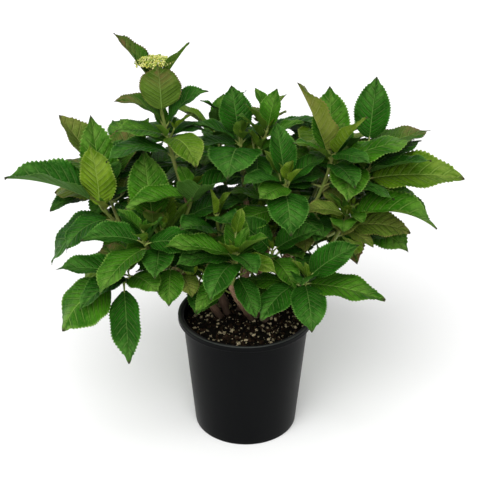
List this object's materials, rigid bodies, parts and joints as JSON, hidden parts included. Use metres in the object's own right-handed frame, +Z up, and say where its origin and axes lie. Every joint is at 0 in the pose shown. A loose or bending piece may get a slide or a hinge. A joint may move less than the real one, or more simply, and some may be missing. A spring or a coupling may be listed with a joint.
{
  "type": "potted hydrangea shrub",
  "caption": "Leafy hydrangea shrub with leaning woody canes, broad paired leaves and a young flat flower head, growing in a black round nursery pot filled with potting mix.",
  "frame": {"origin": "centre of the pot's flat underside", "axes": "+Z up along the pot's axis, -Y towards the front of the plant as pictured, +X to its right"},
  "size_m": [0.7226, 0.5174, 0.6894],
  "materials": {
    "pot": "satin black",
    "potting_mix": "damp dark bark mix",
    "bark": "pinkish brown bark",
    "green_stem": "green to brown young bark",
    "foliage": "soft satin leaf"
  },
  "bodies": {
    "root": {"pot": "pot", "potting_mix": "potting_mix", "left_cane": "bark", "leader_cane": "bark", "front_cane": "bark", "crown_cane": "bark", "middle_cane": "bark", "right_cane": "bark", "front_right_cane": "bark", "back_left_cane": "bark", "back_cane": "bark", "back_right_cane": "bark", "left_outer_bough": "green_stem", "front_left_low_bough": "green_stem", "front_left_bough": "green_stem", "left_side_bough": "green_stem", "centre_bough": "green_stem", "centre_low_bough": "green_stem", "right_outer_bough": "green_stem", "right_low_bough": "green_stem", "right_side_bough": "green_stem", "back_low_left_bough": "green_stem", "back_low_bough": "green_stem", "back_low_right_bough": "green_stem", "leader_foliage": "foliage", "left_outer_foliage": "foliage", "left_low_foliage": "foliage", "front_left_foliage": "foliage", "front_left_low_foliage": "foliage", "front_low_foliage": "foliage", "centre_foliage": "foliage", "top_left_foliage": "foliage", "top_centre_foliage": "foliage", "top_right_foliage": "foliage", "right_outer_foliage": "foliage", "right_low_foliage": "foliage", "low_right_foliage": "foliage", "centre_low_foliage": "foliage", "back_left_foliage": "foliage", "back_centre_foliage": "foliage", "back_right_foliage": "foliage", "back_low_left_foliage": "foliage", "back_low_foliage": "foliage", "back_low_right_foliage": "foliage", "left_side_foliage": "foliage", "right_side_foliage": "foliage"}
  },
  "joints": []
}
